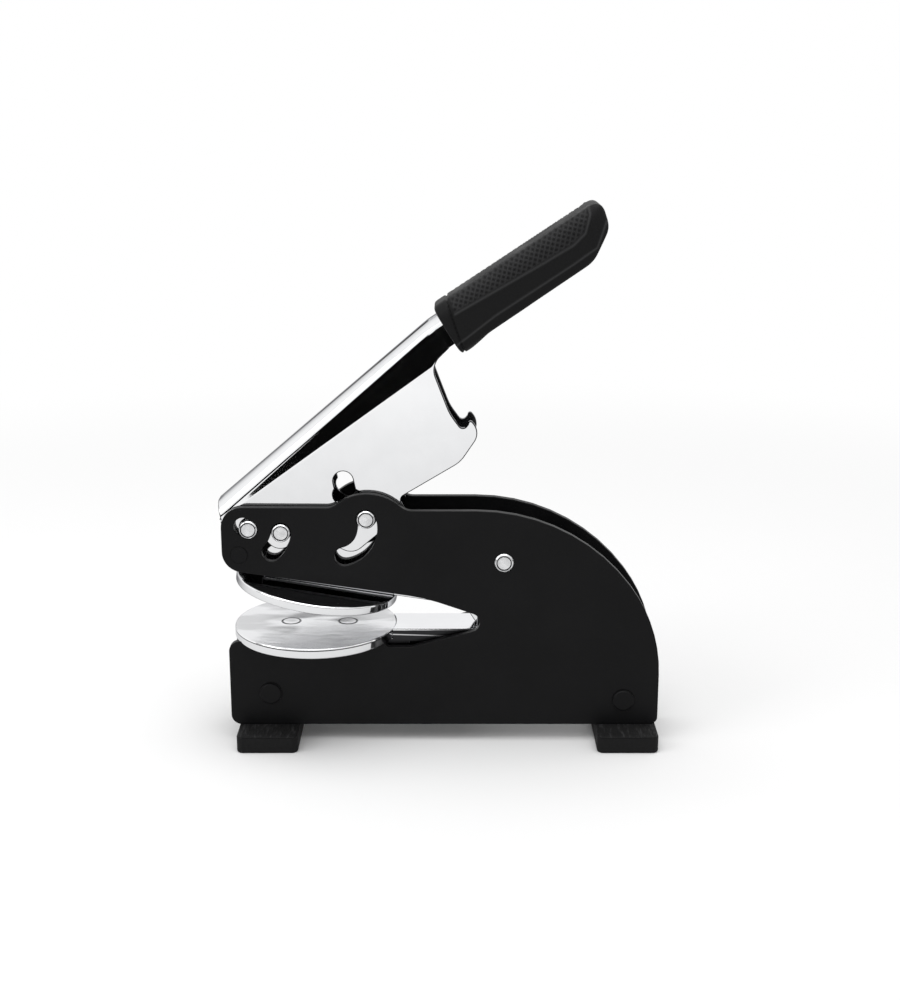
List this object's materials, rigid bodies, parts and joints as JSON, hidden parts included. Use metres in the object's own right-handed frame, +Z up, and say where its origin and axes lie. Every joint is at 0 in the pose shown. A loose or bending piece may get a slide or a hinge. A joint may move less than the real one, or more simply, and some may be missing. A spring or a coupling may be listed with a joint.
{
  "type": "seal embosser",
  "caption": "Hand seal embosser: slotted side plates on rubber feet, round die plates hinged like a jaw, and a sheet-steel lever with a rubber grip that presses them together.",
  "frame": {"origin": "on the desk, under the middle of the whole machine's bounding box with the lever up", "axes": "+X from the die plates' end to the back, under the grip; +Y across the side plates; +Z up"},
  "size_m": [0.1679, 0.0624, 0.2054],
  "materials": {
    "black_enamel": "satin",
    "black_rubber": "matt, moulded",
    "chrome_plate": "bright plated",
    "bright_steel": "zinc plated"
  },
  "bodies": {
    "frame": {"near_side_plate": "black_enamel", "far_side_plate": "black_enamel", "front_lower_rivet": "black_enamel", "rear_lower_rivet": "black_enamel", "front_upper_rivet": "black_enamel", "front_lower_spacer": "bright_steel", "rear_lower_spacer": "bright_steel", "front_upper_spacer": "bright_steel", "latch_pin": "bright_steel", "front_foot": "black_rubber", "rear_foot": "black_rubber", "lower_die_plate": "chrome_plate", "lower_tongue": "chrome_plate", "lower_die_rivets": "bright_steel", "jaw_hinge_pin": "bright_steel", "jaw_spring": "bright_steel"},
    "lever": {"lever": "chrome_plate", "lever_grip": "black_rubber", "lever_pivot_pin": "bright_steel", "lever_stop_pin": "bright_steel"},
    "wedge": {"wedge_pin": "bright_steel", "wedge_pin_rings": "bright_steel"},
    "jaw": {"upper_arm": "chrome_plate", "upper_die_plate": "chrome_plate", "upper_die_rivets": "bright_steel"}
  },
  "joints": [
    {"name": "lever_hinge", "type": "hinge", "parent": "frame", "child": "lever", "pos_m": [-0.072, 0, 0.0853], "axis": [0, 1, 0], "range_deg": [0, 36], "stiffness_Nm_per_rad": 0.6, "springref_deg": -20.05},
    {"name": "wedge_roll", "type": "hinge", "parent": "frame", "child": "wedge", "pos_m": [-0.0386, 0, 0.0857], "axis": [0, 1, 0], "range_deg": [0, 93.6]},
    {"name": "jaw_hinge", "type": "hinge", "parent": "frame", "child": "jaw", "pos_m": [0.019, 0, 0.05], "axis": [0, -1, 0], "range_deg": [0, 8.8], "deforming": ["jaw_spring"]}
  ],
  "couplings": [
    {"joint": "wedge_roll", "follows": "lever_hinge", "ratio": 2.6},
    {"joint": "jaw_hinge", "follows": "lever_hinge", "ratio": 0.24444}
  ]
}
